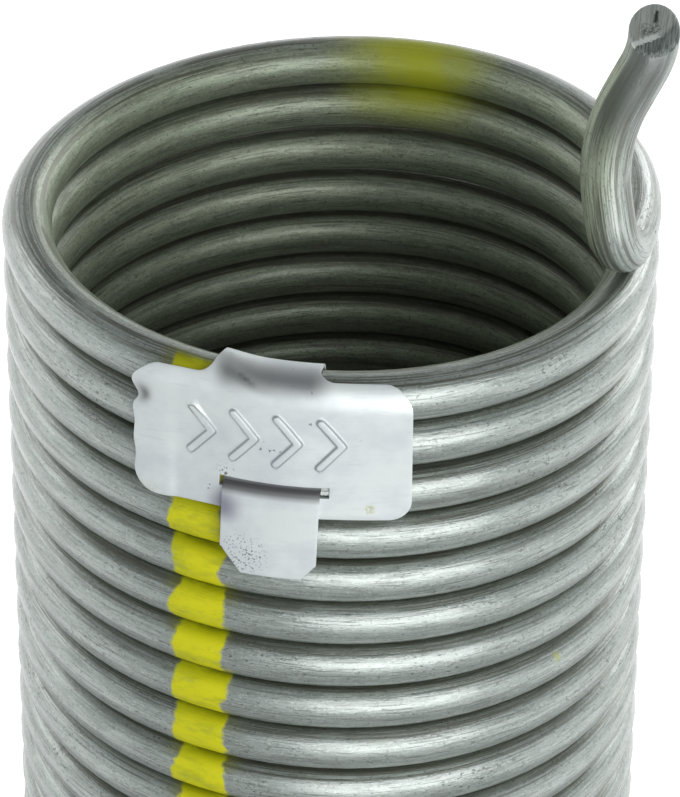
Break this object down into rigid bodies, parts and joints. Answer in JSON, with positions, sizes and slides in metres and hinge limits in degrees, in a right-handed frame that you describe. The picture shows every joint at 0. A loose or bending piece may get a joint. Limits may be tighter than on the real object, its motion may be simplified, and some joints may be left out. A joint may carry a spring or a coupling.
{
  "type": "garage door torsion spring",
  "caption": "Close-wound left-hand torsion spring of round galvanised wire with a bent tail at each end and a folded sheet tag hooked over its first turns.",
  "frame": {"origin": "on the coil's axis, at the level where the lower tail leaves the coil", "axes": "+Z along the coil's axis towards the tagged end; -Y is the side that the tag faces"},
  "size_m": [0.0804, 0.0802, 0.4277],
  "materials": {
    "wire": "dull galvanised, drawn, with a painted stripe",
    "tag": "satin mill finish"
  },
  "bodies": {
    "root": {"spring_wire": "wire", "marking_tag": "tag"}
  },
  "joints": []
}
